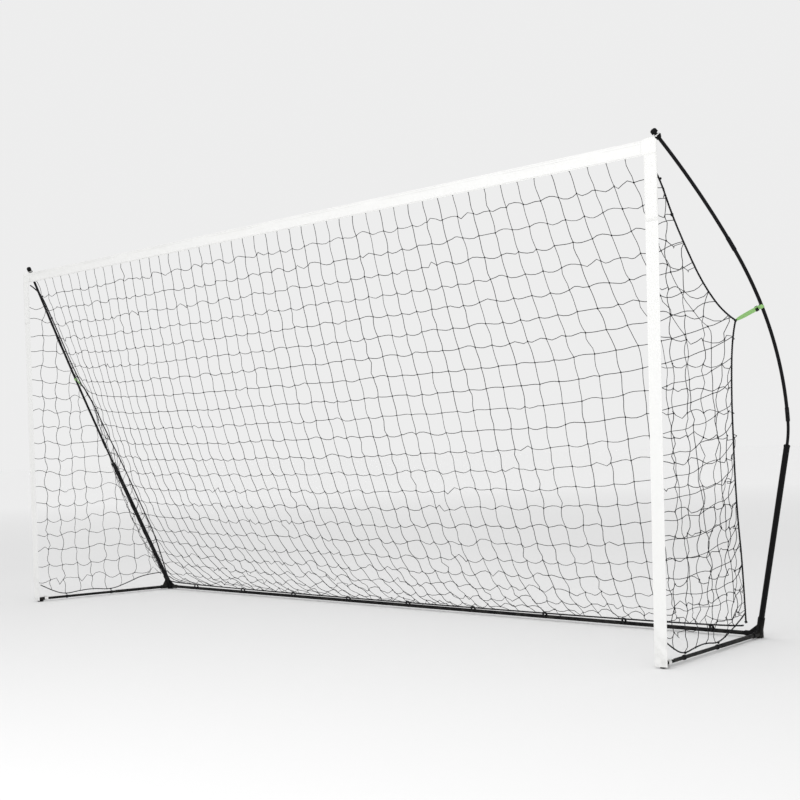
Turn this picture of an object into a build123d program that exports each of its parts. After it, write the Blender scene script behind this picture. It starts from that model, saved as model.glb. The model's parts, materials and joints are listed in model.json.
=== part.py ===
from build123d import *
from math import asin, cos, degrees, pi, radians, sin, tan
import os

os.makedirs("parts", exist_ok=True)

# A pop up football goal of the 16 ft x 7 ft size. A flat steel base lies on the ground, two flexible
# poles stand in its rear corners, bulge outward and come forward, and their tips pull a mouth of flat
# webbing taut. Ropes edge the net, and short elastic straps hold them out to the poles.
# +X is the goal's right from in front, +Y is back into the goal and +Z is up. A depth is a distance
# behind the mouth. The origin is on the ground, in the middle of the whole object.

# ---- driving dimensions, in mm ----
MOUTH_WIDTH = 4880  # between the middles of the posts, at the crossbar
MOUTH_HEIGHT = 2130  # to the top of the crossbar
BASE_DEPTH = 960  # mouth to the rear bar's middle
FRONT_WIDTH = 4790  # between the middles of the posts, on the ground
REAR_WIDTH = 4550  # between the middles of the rear corners
MID_DEPTH = 488.6  # depth of the object's middle
BAR_HEIGHT = 16  # middle of the base bars above the ground

BAR_RADIUS = 9.5
BAR_BORE = 8.1
THIN_BAR_RADIUS = 8
THIN_BAR_BORE = 6.6
TUBE_RADIUS = 13
TUBE_BORE = 11.6
ROD_RADIUS = 7.5
SPIGOT_RADIUS = 6.5
FIT = 0.1  # slack of a piece that sits in another
TURN_GAP = 0.3  # clearance between pieces that turn in each other

# The pole's line, from the corner up: a straight tube, then three bends of falling sharpness. It lies
# in one plane, which is turned outward from straight back and leans toward the mouth.
BOW_TURN = 60  # degrees
TUBE_LEAN = 9.3  # degrees from that plane's own upright
TUBE_RUN = 942
BENDS = ((112, 590), (796, 1894), (596, 4167))  # length and radius of each
TIP_OUT = 4  # the pole's tip outside the post's middle
TIP_DEPTH = 26

WEBBING_WIDTH = 62
WEBBING_THICKNESS = 2.5
PATCH_THICKNESS = 1.5
NET_THICKNESS = 1.5  # of the plain solid that stands for the net
ROPE_RADIUS = 2.75  # edge and hem ropes
CORD_RADIUS = 2  # side hem cords

# ---- sizes that follow from them ----
REAR_HALF = REAR_WIDTH / 2
FOOT_X = FRONT_WIDTH / 2
POST_TOP_X = MOUTH_WIDTH / 2
HALF_WEBBING = WEBBING_WIDTH / 2
CROSSBAR_LOW = MOUTH_HEIGHT - WEBBING_WIDTH
SIDES = (("left", -1), ("right", 1))

SPIGOT_TOP = TUBE_RUN + BENDS[0][0]
LOWER_ROD_TOP = SPIGOT_TOP + BENDS[1][0]
TIP_RUN = LOWER_ROD_TOP + BENDS[2][0]


def spot(x, depth, z):
    """A point given by its depth behind the mouth."""
    return Vector(x, depth - MID_DEPTH, z)


def side_x(depth, z):
    """Half the goal's width at a point of its side, which is one leaning plane."""
    inward = (FOOT_X - REAR_HALF) * depth / BASE_DEPTH
    outward = (POST_TOP_X - FOOT_X) * z / MOUTH_HEIGHT
    return FOOT_X - inward + outward


def side_spot(s, depth, z, out=0.0):
    """A point of the left (s = -1) or right (s = 1) side plane, or a little outside it."""
    return spot(s * (side_x(depth, z) + out), depth, z)


def corner(s):
    return spot(s * REAR_HALF, BASE_DEPTH, BAR_HEIGHT)


def side_bar_spot(s, depth):
    """A point on the side bar's middle line."""
    x = REAR_HALF + (FOOT_X - REAR_HALF) * (BASE_DEPTH - depth) / BASE_DEPTH
    return spot(s * x, depth, BAR_HEIGHT)


# ---- the pole's line ----
def bow_state(run):
    """The pole's line at a distance up it: out and up in its plane, and its degrees from upright."""
    heading = radians(TUBE_LEAN)
    straight = min(run, TUBE_RUN)
    out = straight * sin(heading)
    up = straight * cos(heading)
    left = run - straight
    for length, radius in BENDS:
        part = min(left, length)
        turned = heading - part / radius
        out += radius * (cos(turned) - cos(heading))
        up += radius * (sin(heading) - sin(turned))
        heading = turned
        left -= part
    return out, up, degrees(heading)


OUTWARD = sin(radians(BOW_TURN))
BACKWARD = cos(radians(BOW_TURN))
TIP_ASIDE = (POST_TOP_X + TIP_OUT - REAR_HALF) * BACKWARD + (BASE_DEPTH - TIP_DEPTH) * OUTWARD
BOW_LEAN = asin(TIP_ASIDE / bow_state(TIP_RUN)[1])  # brings the tip over the top of the post


def bow_plane(s):
    """The plane of one pole: its X is level, out and back, and its Y is up along the plane's lean."""
    normal = (BACKWARD * cos(BOW_LEAN), -s * OUTWARD * cos(BOW_LEAN), -s * sin(BOW_LEAN))
    return Plane(origin=corner(s), x_dir=(s * OUTWARD, BACKWARD, 0), z_dir=normal)


def bow_frame(s, run):
    """A plane across the pole at a distance up it, its Z along the pole."""
    plane = bow_plane(s)
    out, up, heading = bow_state(run)
    ahead = plane.x_dir * sin(radians(heading)) + plane.y_dir * cos(radians(heading))
    return Plane(origin=plane.from_local_coords(Vector(out, up, 0)), x_dir=plane.z_dir, z_dir=ahead)


# ---- helpers that add to the part being built ----
def bar(start, end, radius, bore=0, mode=Mode.ADD):
    """A straight round bar, or a tube if it has a bore."""
    with BuildSketch(Plane(origin=start, z_dir=end - start)) as section:
        Circle(radius)
        if bore:
            Circle(bore, mode=Mode.SUBTRACT)
    extrude(section.sketch, amount=(end - start).length, mode=mode)


def bent_bar(s, start, end, radius, mode=Mode.ADD):
    """A round bar along one bend of the pole, between two distances up it."""
    limits = [TUBE_RUN, SPIGOT_TOP, LOWER_ROD_TOP]
    bend = BENDS[sum(1 for limit in limits if start >= limit) - 1][1]
    out, up, heading = bow_state(start)
    tangent = (sin(radians(heading)), cos(radians(heading)))
    with BuildLine(bow_plane(s)) as path:
        JernArc((out, up), tangent, bend, degrees((end - start) / bend))
    with BuildSketch(bow_frame(s, start)) as section:
        Circle(radius)
    sweep(section.sketch, path=path.wires()[0], mode=mode)


def plate(points, thickness):
    """A flat plate with these corners, half its thickness on each side of them."""
    normal = (points[1] - points[0]).cross(points[-1] - points[0])
    plane = Plane(origin=points[0], x_dir=points[1] - points[0], z_dir=normal)
    local = [plane.to_local_coords(point) for point in points]
    with BuildSketch(plane) as outline:
        with BuildLine():
            Polyline(*[(point.X, point.Y) for point in local], close=True)
        make_face()
    extrude(outline.sketch, amount=thickness / 2, both=True)


def cord(name, points, radius):
    """A cord along straight runs joined by arcs as large as their runs allow."""
    radii = []
    for before, point, after in zip(points, points[1:], points[2:]):
        turn = radians((point - before).get_angle(after - point))
        run = min((point - before).length, (after - point).length)
        radii.append(0.45 * run / tan(turn / 2))
    with BuildLine() as path:
        if radii:
            FilletPolyline(*points, radius=radii)
        else:
            Line(*points)
    wire = path.wires()[0]
    with BuildSketch(Plane(origin=wire @ 0, z_dir=wire % 0)) as section:
        Circle(radius)
    sweep(section.sketch, path=wire)
    print(f"{name}: {wire.length:.0f} mm, {pi * radius**2 * wire.length:.0f} mm3 along its path, "
          f"smallest bend {min(radii, default=0):.0f} mm")


def turned(plane, outline):
    """A solid of revolution about a plane's Z, from (radius, height) points."""
    with BuildSketch(Plane(origin=plane.origin, x_dir=plane.x_dir, z_dir=-plane.y_dir)) as half_section:
        with BuildLine():
            Polyline(*outline, close=True)
        make_face()
    revolve(half_section.sketch, axis=Axis(plane.origin, plane.z_dir))


def save(part, name):
    part.label = name
    export_step(part, f"parts/{name}.step")


# ---- the base: rear bar in four tubes, joined by inner sleeves over one elastic cord ----
BAR_INSET = 22  # a bar's end from the corner
REAR_BAR_END = REAR_HALF - BAR_INSET
SECTION = REAR_BAR_END / 2
SLEEVE_RADIUS = BAR_BORE - FIT
SLEEVE_BORE = 5
SLEEVE_LENGTH = 120
SHOCK_CORD_RADIUS = 2
SHOCK_KNOT_RADIUS = 6
SHOCK_KNOT_LENGTH = 10

for index, name in enumerate(("left_outer", "left_inner", "right_inner", "right_outer")):
    with BuildPart() as rear_bar:
        low = -REAR_BAR_END + index * SECTION
        bar(spot(low, BASE_DEPTH, BAR_HEIGHT), spot(low + SECTION, BASE_DEPTH, BAR_HEIGHT),
            BAR_RADIUS, BAR_BORE)
        chamfer(rear_bar.edges().filter_by(GeomType.CIRCLE), 0.4)
    save(rear_bar.part, f"rear_bar_{name}")

with BuildPart() as rear_bar_sleeves:
    for joint in (-SECTION, 0, SECTION):
        bar(spot(joint - SLEEVE_LENGTH / 2, BASE_DEPTH, BAR_HEIGHT),
            spot(joint + SLEEVE_LENGTH / 2, BASE_DEPTH, BAR_HEIGHT), SLEEVE_RADIUS, SLEEVE_BORE)
save(rear_bar_sleeves.part, "rear_bar_sleeves")

with BuildPart() as rear_bar_shock_cord:
    knot_x = REAR_BAR_END - 2 * SHOCK_KNOT_LENGTH
    bar(spot(-knot_x, BASE_DEPTH, BAR_HEIGHT), spot(knot_x, BASE_DEPTH, BAR_HEIGHT), SHOCK_CORD_RADIUS)
    for x in (-knot_x - SHOCK_KNOT_LENGTH, knot_x):
        bar(spot(x, BASE_DEPTH, BAR_HEIGHT), spot(x + SHOCK_KNOT_LENGTH, BASE_DEPTH, BAR_HEIGHT),
            SHOCK_KNOT_RADIUS)
save(rear_bar_shock_cord.part, "rear_bar_shock_cord")

# ---- the base: side bars, a thin front tube sliding into a thicker rear one ----
SIDE_JOINT_DEPTH = 550
SIDE_OVERLAP = 80
FOOT_BAR_DEPTH = 10  # the front end of the side bar

for side, s in SIDES:
    toward_front = (side_bar_spot(s, 0) - corner(s)).normalized()
    rear_end = corner(s) + toward_front * BAR_INSET
    joint = side_bar_spot(s, SIDE_JOINT_DEPTH)
    with BuildPart() as side_bar_rear:
        bar(rear_end, joint, BAR_RADIUS, THIN_BAR_RADIUS + FIT)
        chamfer(side_bar_rear.edges().filter_by(GeomType.CIRCLE), 0.4)
    save(side_bar_rear.part, f"side_bar_rear_{side}")

    with BuildPart() as side_bar_front:
        bar(joint - toward_front * SIDE_OVERLAP, side_bar_spot(s, FOOT_BAR_DEPTH),
            THIN_BAR_RADIUS, THIN_BAR_BORE)
        chamfer(side_bar_front.edges().filter_by(GeomType.CIRCLE), 0.4)
    save(side_bar_front.part, f"side_bar_front_{side}")

# ---- the base: rear corner brackets ----
KNUCKLE_RADIUS = 20
KNUCKLE_HEIGHT = 34
SOCKET_RADIUS = 12.5
SOCKET_LENGTH = 72
TUBE_SOCKET_RADIUS = 16
TUBE_SOCKET_LENGTH = 84
TUBE_INSET = 26  # the pole tube's lower end from the corner
GUSSET_THICKNESS = 5
GUSSET_REACH = 66

for side, s in SIDES:
    middle = corner(s)
    along_rear = Vector(-s, 0, 0)
    along_side = (side_bar_spot(s, 0) - middle).normalized()
    along_tube = bow_frame(s, 0).z_dir
    with BuildPart() as corner_bracket:
        with BuildSketch(Plane.XY):
            with Locations((middle.X, middle.Y)):
                Circle(KNUCKLE_RADIUS)
        extrude(amount=KNUCKLE_HEIGHT)
        fillet(corner_bracket.edges().filter_by(GeomType.CIRCLE).sort_by(Axis.Z)[-1], 6)
        chamfer(corner_bracket.edges().filter_by(GeomType.CIRCLE).sort_by(Axis.Z)[0], 1.5)
        for along in (along_rear, along_side):
            bar(middle, middle + along * SOCKET_LENGTH, SOCKET_RADIUS)
            plate([middle, middle + along * GUSSET_REACH, middle + along_tube * GUSSET_REACH],
                  GUSSET_THICKNESS)
        bar(middle, middle + along_tube * TUBE_SOCKET_LENGTH, TUBE_SOCKET_RADIUS)
        for along in (along_rear, along_side):
            bar(middle + along * BAR_INSET, middle + along * (SOCKET_LENGTH + 1), BAR_RADIUS + FIT,
                mode=Mode.SUBTRACT)
        bar(middle + along_tube * TUBE_INSET, middle + along_tube * (TUBE_SOCKET_LENGTH + 1),
            TUBE_RADIUS + FIT, mode=Mode.SUBTRACT)
    save(corner_bracket.part, f"corner_bracket_{side}")

# ---- the base: caps with a flat foot on the side bars' front ends ----
FOOT_CAP_START = 4
FOOT_CAP_END = 44
FOOT_CAP_RADIUS = 10
FOOT_PAD_WIDTH = 18

for side, s in SIDES:
    start = side_bar_spot(s, FOOT_CAP_START)
    end = side_bar_spot(s, FOOT_CAP_END)
    along = (end - start).normalized()
    with BuildPart() as foot_cap:
        bar(start, end, FOOT_CAP_RADIUS)
        fillet(foot_cap.edges().filter_by(GeomType.CIRCLE), 2)
        pad_plane = Plane(origin=(start.X, start.Y, 0), x_dir=along, z_dir=(0, 0, 1))
        with BuildSketch(pad_plane):
            with Locations(((end - start).length / 2, 0)):
                RectangleRounded((end - start).length - 4, FOOT_PAD_WIDTH, 5)
        extrude(amount=BAR_HEIGHT)
        bar(side_bar_spot(s, FOOT_BAR_DEPTH), end + along, THIN_BAR_RADIUS + FIT, mode=Mode.SUBTRACT)
    save(foot_cap.part, f"foot_cap_{side}")

# ---- the poles: lower tube, its end bush and seat, and the thin spigot that bends above it ----
BUSH_RADIUS = 14.2
BUSH_LIP = 6
BUSH_DEPTH = 30
SEAT_RUN = 540  # the spigot's lower end, up the pole
SEAT_LENGTH = 24

for side, s in SIDES:
    with BuildPart() as lower_tube:
        bar(bow_frame(s, TUBE_INSET).origin, bow_frame(s, TUBE_RUN - BUSH_LIP).origin,
            TUBE_RADIUS, TUBE_BORE)
    save(lower_tube.part, f"lower_tube_{side}")

    top = bow_frame(s, TUBE_RUN)
    with BuildPart() as tube_bush:
        turned(top, [(SPIGOT_RADIUS + FIT, -BUSH_DEPTH), (TUBE_BORE - FIT, -BUSH_DEPTH),
                     (TUBE_BORE - FIT, -BUSH_LIP), (BUSH_RADIUS, -BUSH_LIP),
                     (BUSH_RADIUS, -1.5), (BUSH_RADIUS - 1.5, 0), (SPIGOT_RADIUS + FIT, 0)])
    save(tube_bush.part, f"tube_bush_{side}")

    seat = bow_frame(s, SEAT_RUN)
    with BuildPart() as spigot_seat:
        turned(seat, [(0, -8), (TUBE_BORE - FIT, -8), (TUBE_BORE - FIT, SEAT_LENGTH - 8),
                      (SPIGOT_RADIUS + FIT, SEAT_LENGTH - 8), (SPIGOT_RADIUS + FIT, 0), (0, 0)])
    save(spigot_seat.part, f"spigot_seat_{side}")

    with BuildPart() as spigot:
        bar(seat.origin, top.origin, SPIGOT_RADIUS)
        bent_bar(s, TUBE_RUN, SPIGOT_TOP, SPIGOT_RADIUS)
        with Locations(bow_frame(s, SPIGOT_TOP)):
            Sphere(SPIGOT_RADIUS)
    save(spigot.part, f"spigot_{side}")

# ---- the poles: two fibreglass rods, each standing in a steel ferrule with a cup over the ball below ----
CUP_DEPTH = 9  # from the ball's middle to the rod in the ferrule
CUP_RISE = 1  # the ferrule's rim above the ball's middle
FERRULE_WALL = 1.5
FERRULE_LENGTH = 62


def ferrule(s, start, ball):
    """A sleeve along the pole from just above a ball, with a round cup over the ball."""
    bent_bar(s, start + CUP_RISE, start + FERRULE_LENGTH, ROD_RADIUS + FERRULE_WALL)
    bent_bar(s, start + CUP_DEPTH, start + FERRULE_LENGTH, ROD_RADIUS + FIT / 2, mode=Mode.SUBTRACT)
    with Locations(bow_frame(s, start)):
        Sphere(ball + TURN_GAP, mode=Mode.SUBTRACT)


for side, s in SIDES:
    with BuildPart() as lower_ferrule:
        ferrule(s, SPIGOT_TOP, SPIGOT_RADIUS)
    save(lower_ferrule.part, f"lower_ferrule_{side}")

    with BuildPart() as lower_rod:
        bent_bar(s, SPIGOT_TOP + CUP_DEPTH, LOWER_ROD_TOP, ROD_RADIUS)
        with Locations(bow_frame(s, LOWER_ROD_TOP)):
            Sphere(ROD_RADIUS)
    save(lower_rod.part, f"lower_rod_{side}")

    with BuildPart() as upper_ferrule:
        ferrule(s, LOWER_ROD_TOP, ROD_RADIUS)
    save(upper_ferrule.part, f"upper_ferrule_{side}")

    with BuildPart() as upper_rod:
        bent_bar(s, LOWER_ROD_TOP + CUP_DEPTH, TIP_RUN, ROD_RADIUS)
    save(upper_rod.part, f"upper_rod_{side}")

# ---- the poles: a flared collar and a domed cap, with the mouth's corner loop loose between them ----
CAP_UNDERSIDE = -8  # up the pole from its tip
CAP_RADIUS = 14
CAP_TOP = 12
COLLAR_TOP = -20
COLLAR_LIP = 4
COLLAR_LENGTH = 16
COLLAR_RADIUS = 16

for side, s in SIDES:
    with BuildPart() as tip_collar:
        turned(bow_frame(s, TIP_RUN + COLLAR_TOP),
               [(ROD_RADIUS + FIT, 0), (COLLAR_RADIUS, 0), (COLLAR_RADIUS, -COLLAR_LIP),
                (ROD_RADIUS + 2.5, -COLLAR_LENGTH), (ROD_RADIUS + FIT, -COLLAR_LENGTH)])
    save(tip_collar.part, f"tip_collar_{side}")

    tip = bow_frame(s, TIP_RUN)

    with BuildPart() as tip_cap:
        turned(tip, [(0, CAP_UNDERSIDE), (CAP_RADIUS, CAP_UNDERSIDE), (CAP_RADIUS, CAP_TOP), (0, CAP_TOP)])
        fillet(tip_cap.edges().filter_by(GeomType.CIRCLE).sort_by_distance(tip.origin - tip.z_dir * 99)[-1], 10)
        with BuildSketch(Plane(tip.origin, x_dir=tip.x_dir, z_dir=-tip.z_dir)):
            Circle(ROD_RADIUS + FIT)
        extrude(amount=-CAP_UNDERSIDE, mode=Mode.SUBTRACT)
    save(tip_cap.part, f"tip_cap_{side}")

# ---- the mouth: flat webbing posts and crossbar ----
POST_BOTTOM = 6
SEAM_GAP = 0.5

for side, s in SIDES:
    bottom_x = side_x(0, POST_BOTTOM)
    with BuildPart() as post_webbing:
        plate([spot(s * (bottom_x - HALF_WEBBING), 0, POST_BOTTOM),
               spot(s * (bottom_x + HALF_WEBBING), 0, POST_BOTTOM),
               spot(s * (POST_TOP_X + HALF_WEBBING), 0, MOUTH_HEIGHT),
               spot(s * (POST_TOP_X - HALF_WEBBING), 0, MOUTH_HEIGHT)], WEBBING_THICKNESS)
    save(post_webbing.part, f"post_webbing_{side}")

with BuildPart() as crossbar_webbing:
    low_x = side_x(0, CROSSBAR_LOW) - HALF_WEBBING - SEAM_GAP
    high_x = POST_TOP_X - HALF_WEBBING - SEAM_GAP
    plate([spot(-low_x, 0, CROSSBAR_LOW), spot(low_x, 0, CROSSBAR_LOW),
           spot(high_x, 0, MOUTH_HEIGHT), spot(-high_x, 0, MOUTH_HEIGHT)], WEBBING_THICKNESS)
save(crossbar_webbing.part, "crossbar_webbing")

# ---- the mouth: corner patches, the loops over the pole tips, and the loops round the side bars ----
PATCH_REACH = 95
PATCH_DROP = 330
LOOP_RUN = TIP_RUN - 14
LOOP_HOLE = 12.5
LOOP_OUTER = 18.5
LOOP_THICKNESS = 2
LOOP_TAB_WIDTH = 20
LOOP_TAB_LOW = MOUTH_HEIGHT - 30
LOOP_EASE = (0.35, 0.95, -1.8)  # out, back and up: halves its drift along the pole as the mouth rocks
FOOT_LOOP_HOLE = 10.5
FOOT_LOOP_OUTER = 14
FOOT_LOOP_START = 48
FOOT_LOOP_END = 72
FOOT_STRAP_WIDTH = 30
BACK_FACE = WEBBING_THICKNESS / 2

for side, s in SIDES:
    inner = POST_TOP_X - HALF_WEBBING
    outer = POST_TOP_X + HALF_WEBBING
    drop = MOUTH_HEIGHT - PATCH_DROP
    with BuildPart() as corner_patch:
        with BuildSketch(Plane.XZ.offset(BACK_FACE + MID_DEPTH)):
            with BuildLine():
                Polyline((s * (inner - PATCH_REACH), CROSSBAR_LOW), (s * (inner - PATCH_REACH), MOUTH_HEIGHT),
                         (s * inner, MOUTH_HEIGHT + 4), (s * (POST_TOP_X - 10), MOUTH_HEIGHT + 16),
                         (s * (POST_TOP_X + 12), MOUTH_HEIGHT + 16), (s * outer, MOUTH_HEIGHT - 4),
                         (s * (side_x(0, drop) + HALF_WEBBING), drop),
                         (s * (side_x(0, drop) - HALF_WEBBING), drop),
                         (s * (side_x(0, CROSSBAR_LOW) - HALF_WEBBING), CROSSBAR_LOW), close=True)
            make_face()
        extrude(amount=PATCH_THICKNESS)
    save(corner_patch.part, f"corner_patch_{side}")

    ring = bow_frame(s, LOOP_RUN)
    out, back, up = LOOP_EASE
    ring = Plane(ring.origin + Vector(s * out, back, up), x_dir=ring.x_dir, z_dir=ring.z_dir)
    forward = Vector(1, 0, 0).cross(ring.z_dir).normalized()
    low_edge = ring.origin + forward * (LOOP_OUTER - 3)
    ring_low = ring.origin + forward * LOOP_OUTER
    with BuildPart() as corner_loop:
        with BuildSketch(ring):
            Circle(LOOP_OUTER)
        extrude(amount=LOOP_THICKNESS / 2, both=True)
        with BuildSketch(Plane.YZ.offset(ring.origin.X - LOOP_TAB_WIDTH / 2)):
            with BuildLine():
                base = BACK_FACE - MID_DEPTH
                Polyline((base, LOOP_TAB_LOW), (base + LOOP_THICKNESS, LOOP_TAB_LOW),
                         (base + LOOP_THICKNESS, MOUTH_HEIGHT - 6), (ring_low.Y + 1, ring_low.Z - 1),
                         (low_edge.Y + 0.9, low_edge.Z - 0.5), (low_edge.Y - 0.9, low_edge.Z + 0.5),
                         (base, MOUTH_HEIGHT + 2), close=True)
            make_face()
        extrude(amount=LOOP_TAB_WIDTH)
        with BuildSketch(ring):
            Circle(LOOP_HOLE)
        extrude(amount=LOOP_THICKNESS * 3, both=True, mode=Mode.SUBTRACT)
    save(corner_loop.part, f"corner_loop_{side}")

    strap_top = BAR_HEIGHT + FOOT_LOOP_OUTER
    with BuildPart() as foot_loop:
        bar(side_bar_spot(s, FOOT_LOOP_START), side_bar_spot(s, FOOT_LOOP_END), FOOT_LOOP_OUTER)
        with BuildSketch(Plane.XY.offset(strap_top)):
            strap_end = (FOOT_LOOP_START + FOOT_LOOP_END) / 2
            with Locations(spot(s * FOOT_X, (BACK_FACE + strap_end) / 2, 0)):
                Rectangle(FOOT_STRAP_WIDTH, strap_end - BACK_FACE)
        extrude(amount=-WEBBING_THICKNESS)
        bar(side_bar_spot(s, FOOT_LOOP_START - 1), side_bar_spot(s, FOOT_LOOP_END + 1), FOOT_LOOP_HOLE,
            mode=Mode.SUBTRACT)
    save(foot_loop.part, f"foot_loop_{side}")

# ---- the net: plain thin solids in the net's place ----
NET_TOP = CROSSBAR_LOW - 6
NET_MID_X = 1500  # between these the net hangs freely
# Half width, depth and height of the net's corners: along the crossbar, its fold and its hem.
NET_SIDE = ((POST_TOP_X - HALF_WEBBING - 10, 8, NET_TOP), (2446, 452, 1402), (2446, 452, 1386), (2208, 905, 74))
NET_MIDDLE = ((NET_MID_X, 8, NET_TOP), (NET_MID_X, 468, 1236), (NET_MID_X, 470, 1220), (NET_MID_X, 928, 52))


def net_strip(s, low, high):
    """The net's thin section between two of its points, on one side of the goal."""
    start = spot(s * low[0], low[1], low[2])
    along = spot(s * high[0], high[1], high[2]) - start
    across = Vector(0, -along.Z, along.Y).normalized() * (NET_THICKNESS / 2)
    corners = [start + across, start + along + across, start + along - across, start - across]
    plane = Plane(origin=start, x_dir=along, z_dir=along.cross(across))
    local = [plane.to_local_coords(point) for point in corners]
    with BuildSketch(plane) as strip:
        with BuildLine():
            Polyline(*[(point.X, point.Y) for point in local], close=True)
        make_face()
    return strip.sketch


for name, low, high in (("upper", 1, 0), ("lower", 3, 2)):
    sections = [net_strip(s, points[low], points[high])
                for s, points in ((-1, NET_SIDE), (-1, NET_MIDDLE), (1, NET_MIDDLE), (1, NET_SIDE))]
    with BuildPart() as rear_net:
        loft(sections, ruled=True)
    save(rear_net.part, f"rear_net_{name}")

# ---- the net: edge ropes, which run from the top of each post out to the strap and down to the rear bar ----
# Each point is a depth, a height and a distance outside the side's plane.
ROPE_UPPER = ((100, 1985, -12), (170, 1844, 4), (250, 1699, 32), (325, 1563, 66), (412, 1444, 116))
ROPE_CORNER = (454, 1408, 156)  # where the strap holds it
ROPE_LOWER = ((486, 1340, 120), (570, 1084, 72), (632, 932, 46), (702, 742, 16), (780, 529, -10),
              (850, 352, -27), (915, 72, -46))
# The side net's corners, inside its rope: foot and top of the post, then down its rear edge.
SIDE_NET = ((16, 74, 0), (56, 1905, 0), (430, 1385, 112), (684, 742, 16), (872, 90, -30))

for side, s in SIDES:
    with BuildPart() as edge_rope:
        cord(f"edge_rope_{side}",
             [side_spot(s, *point) for point in (*ROPE_UPPER, ROPE_CORNER, *ROPE_LOWER)], ROPE_RADIUS)
    save(edge_rope.part, f"edge_rope_{side}")

    foot, *edge = [side_spot(s, *point) for point in SIDE_NET]
    with BuildPart() as side_net:
        for upper, lower in zip(edge, edge[1:]):
            plate([foot, upper, lower], NET_THICKNESS)
    save(side_net.part, f"side_net_{side}")

# ---- the net: hem ropes along the ground, tied to the bars ----
HEM_DEPTH = BASE_DEPTH - 10
HEM_HEIGHT = 33.5
HEM_OUT = 5  # the side cords lie this far outside the net
TIE_SLACK = 0.4
TIE_THICKNESS = 1.6
TIE_WIDTH = 14
TIE_SPACING = 500
SIDE_TIE_DEPTHS = (205, 520)
HEM_BEND_X = REAR_HALF - 110
HEM_END = (REAR_HALF - 58, 924, 55)

with BuildPart() as rear_hem_rope:
    end_x, end_depth, end_height = HEM_END
    cord("rear_hem_rope", [spot(-end_x, end_depth, end_height), spot(-HEM_BEND_X, HEM_DEPTH, HEM_HEIGHT),
                           spot(HEM_BEND_X, HEM_DEPTH, HEM_HEIGHT), spot(end_x, end_depth, end_height)],
         ROPE_RADIUS)
save(rear_hem_rope.part, "rear_hem_rope")

with BuildPart() as rear_ties:
    rope_gap = Vector(HEM_DEPTH - BASE_DEPTH, HEM_HEIGHT - BAR_HEIGHT)
    tie_radius = BAR_RADIUS + TIE_SLACK
    for index in range(-4, 5):
        middle = spot(index * TIE_SPACING + 30, BASE_DEPTH, BAR_HEIGHT) + Vector(0, rope_gap.X, rope_gap.Y) / 2
        tie_plane = Plane(origin=middle, x_dir=(0, rope_gap.X, rope_gap.Y), z_dir=(1, 0, 0))
        with BuildSketch(tie_plane):
            SlotCenterToCenter(rope_gap.length, 2 * (tie_radius + TIE_THICKNESS))
            SlotCenterToCenter(rope_gap.length, 2 * tie_radius, mode=Mode.SUBTRACT)
        extrude(amount=TIE_WIDTH / 2, both=True)
save(rear_ties.part, "rear_ties")

for side, s in SIDES:
    route = ((30, 104), (125, 52), (205, 32), (290, 44), (400, 50), (520, 32), (640, 66), (770, 112))
    with BuildPart() as side_hem_cord:
        cord(f"side_hem_cord_{side}", [side_spot(s, *point, out=HEM_OUT) for point in route], CORD_RADIUS)
    save(side_hem_cord.part, f"side_hem_cord_{side}")

    with BuildPart() as side_ties:
        for depth in SIDE_TIE_DEPTHS:
            radius = THIN_BAR_RADIUS + TIE_SLACK
            bar(side_bar_spot(s, depth - TIE_WIDTH / 2), side_bar_spot(s, depth + TIE_WIDTH / 2),
                radius + TIE_THICKNESS, radius)
    save(side_ties.part, f"side_ties_{side}")

# ---- the elastic straps that hold the net back to the poles ----
STRAP_RUN = 1585  # up the pole
STRAP_WIDTH = 16
STRAP_THICKNESS = 1.5
STRAP_STOP = 36  # short of the rope that it holds, which it nears as the pole flexes
BUCKLE_WIDTH = 23
BUCKLE_LENGTH = 13
BUCKLE_THICKNESS = 5

for side, s in SIDES:
    hold = bow_frame(s, STRAP_RUN)
    held = side_spot(s, *ROPE_CORNER)
    along = (held - hold.origin).normalized()
    end = held - along * STRAP_STOP
    ring_radius = ROD_RADIUS + FIT
    start = hold.origin + along * (ring_radius + STRAP_THICKNESS / 2)
    flat = along.cross(Vector(0, 0, 1)).normalized()
    strap_frame = Plane(origin=start, x_dir=flat, z_dir=along)
    with BuildPart() as elastic_strap:
        with BuildSketch(strap_frame):
            Rectangle(STRAP_THICKNESS, STRAP_WIDTH)
        extrude(amount=(end - start).length)
        bar(bow_frame(s, STRAP_RUN - STRAP_WIDTH / 2).origin, bow_frame(s, STRAP_RUN + STRAP_WIDTH / 2).origin,
            ring_radius + STRAP_THICKNESS)
        bent_bar(s, STRAP_RUN - STRAP_WIDTH, STRAP_RUN + STRAP_WIDTH, ring_radius, mode=Mode.SUBTRACT)
    save(elastic_strap.part, f"elastic_strap_{side}")

    with BuildPart() as strap_buckle:
        with BuildSketch(strap_frame.offset(9)):
            RectangleRounded(BUCKLE_THICKNESS, BUCKLE_WIDTH, 2)
            Rectangle(STRAP_THICKNESS + FIT, STRAP_WIDTH + FIT, mode=Mode.SUBTRACT)
        extrude(amount=BUCKLE_LENGTH)
    save(strap_buckle.part, f"strap_buckle_{side}")
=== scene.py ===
import json
from math import cos, pi, radians, sin, sqrt

import bpy
import numpy as np
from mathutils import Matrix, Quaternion, Vector


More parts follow.
